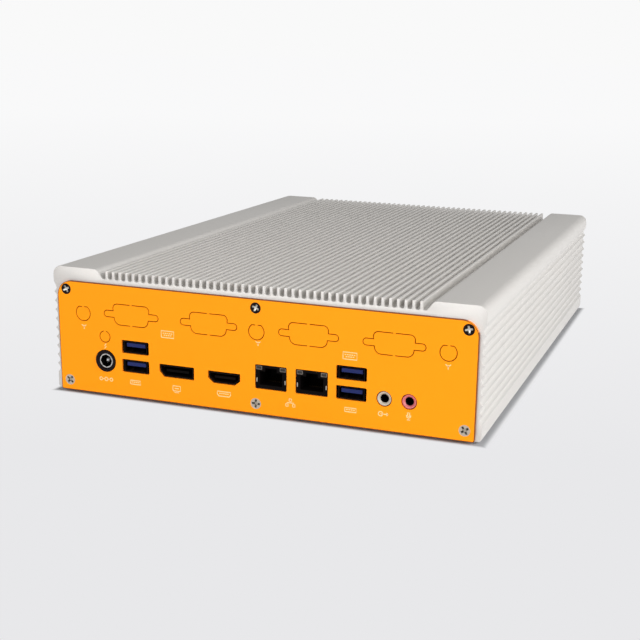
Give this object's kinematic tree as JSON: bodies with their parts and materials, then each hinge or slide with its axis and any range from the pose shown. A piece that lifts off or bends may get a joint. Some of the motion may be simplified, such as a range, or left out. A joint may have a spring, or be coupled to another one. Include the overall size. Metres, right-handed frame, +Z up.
{
  "type": "fanless industrial computer",
  "caption": "Finned aluminium case with a flat socket panel screwed to its front, holding a mainboard cooled through the case.",
  "frame": {"origin": "middle of the ground that the case covers, under the feet", "axes": "+X to the right as seen from the socket panel, +Y from that panel to the back, +Z up"},
  "size_m": [0.228, 0.3106, 0.0665],
  "materials": {
    "anodised_aluminium": "fine satin, clear anodised",
    "orange_panel": "smooth satin orange",
    "plain_sheet": "satin silver",
    "tray_steel": "zinc plated",
    "black_screw": "black oxide with bright recess",
    "bright_screw": "nickel plated",
    "rubber": "matt",
    "board_green": "solder mask",
    "brass": "bright",
    "socket_steel": "tin plated",
    "socket_blue": "moulded",
    "socket_black": "moulded",
    "socket_grey": "moulded",
    "contact_gold": "gold flash",
    "light_guide": "frosted",
    "audio_green": "moulded",
    "audio_pink": "moulded",
    "switch_steel": "polished",
    "chip_black": "moulded",
    "pad_grey": "soft",
    "block_aluminium": "milled",
    "drive_case": "satin"
  },
  "bodies": {
    "case": {"housing": "anodised_aluminium", "front_panel": "orange_panel", "rear_panel": "plain_sheet", "bottom_tray": "tray_steel", "flange_nuts": "bright_screw", "mounting_nuts": "bright_screw", "rubber_feet": "rubber", "front_screws_upper": "black_screw", "front_screws_lower": "bright_screw", "rear_screws": "bright_screw", "tray_screws": "bright_screw", "mainboard": "board_green", "board_standoffs": "brass", "board_screws": "bright_screw", "usb_shell_left": "socket_steel", "usb_shell_right": "socket_steel", "usb_insulators_left": "socket_blue", "usb_insulators_right": "socket_blue", "display_shell": "socket_steel", "display_insulator": "socket_black", "hdmi_shell": "socket_steel", "hdmi_insulator": "socket_black", "lan_shell_left": "socket_steel", "lan_shell_right": "socket_steel", "lan_insert_left": "socket_black", "lan_insert_right": "socket_black", "lan_lights_left": "light_guide", "lan_lights_right": "light_guide", "lan_contacts_left": "contact_gold", "lan_contacts_right": "contact_gold", "audio_jack_line": "audio_green", "audio_jack_microphone": "audio_pink", "power_socket": "socket_black", "power_socket_ring": "bright_screw", "power_socket_pin": "bright_screw", "power_switch": "switch_steel", "power_switch_nut": "switch_steel", "power_light_ring": "light_guide", "processor": "block_aluminium", "thermal_pad": "pad_grey", "heat_block": "block_aluminium", "heat_block_screws": "bright_screw", "memory_socket": "socket_black", "memory_module": "board_green", "drive_bracket": "tray_steel", "solid_state_drive": "drive_case", "drive_screws": "bright_screw", "battery_holder": "socket_black", "coin_cell": "bright_screw", "board_chips": "chip_black", "board_chokes": "socket_grey"},
    "button": {"power_button": "switch_steel"}
  },
  "joints": [
    {"name": "power_press", "type": "slide", "parent": "case", "child": "button", "axis": [0, -1, 0], "range_m": [0, 0.0012], "stiffness_N_per_m": 800, "springref_m": -0.002}
  ]
}
